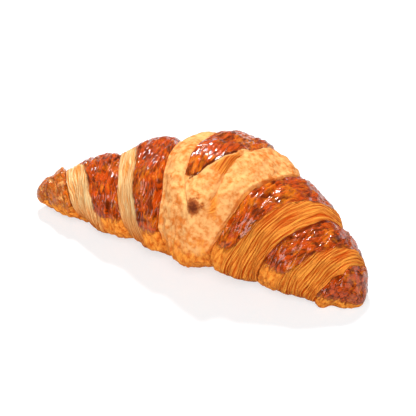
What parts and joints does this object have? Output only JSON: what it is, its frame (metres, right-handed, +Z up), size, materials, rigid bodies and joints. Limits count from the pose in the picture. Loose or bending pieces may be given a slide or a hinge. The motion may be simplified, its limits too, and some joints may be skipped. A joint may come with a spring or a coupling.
{
  "type": "croissant",
  "caption": "Baked crescent roll of flaky laminated dough, wound from a broad middle to two narrow ends, with a tip laid on its front; it rests on its flat underside and is eaten.",
  "frame": {"origin": "centre of the bounding box at the level of the flat underside", "axes": "+X along the roll, towards the end that lies nearer the tray; -Y towards the front, where the dough's tip lies and to which both ends bend; +Z up"},
  "size_m": [0.166, 0.0724, 0.0549],
  "materials": {
    "crust": "egg-washed baked crust, glossy dark brown bands over matt golden flakes"
  },
  "bodies": {
    "root": {"croissant": "crust"}
  },
  "joints": []
}
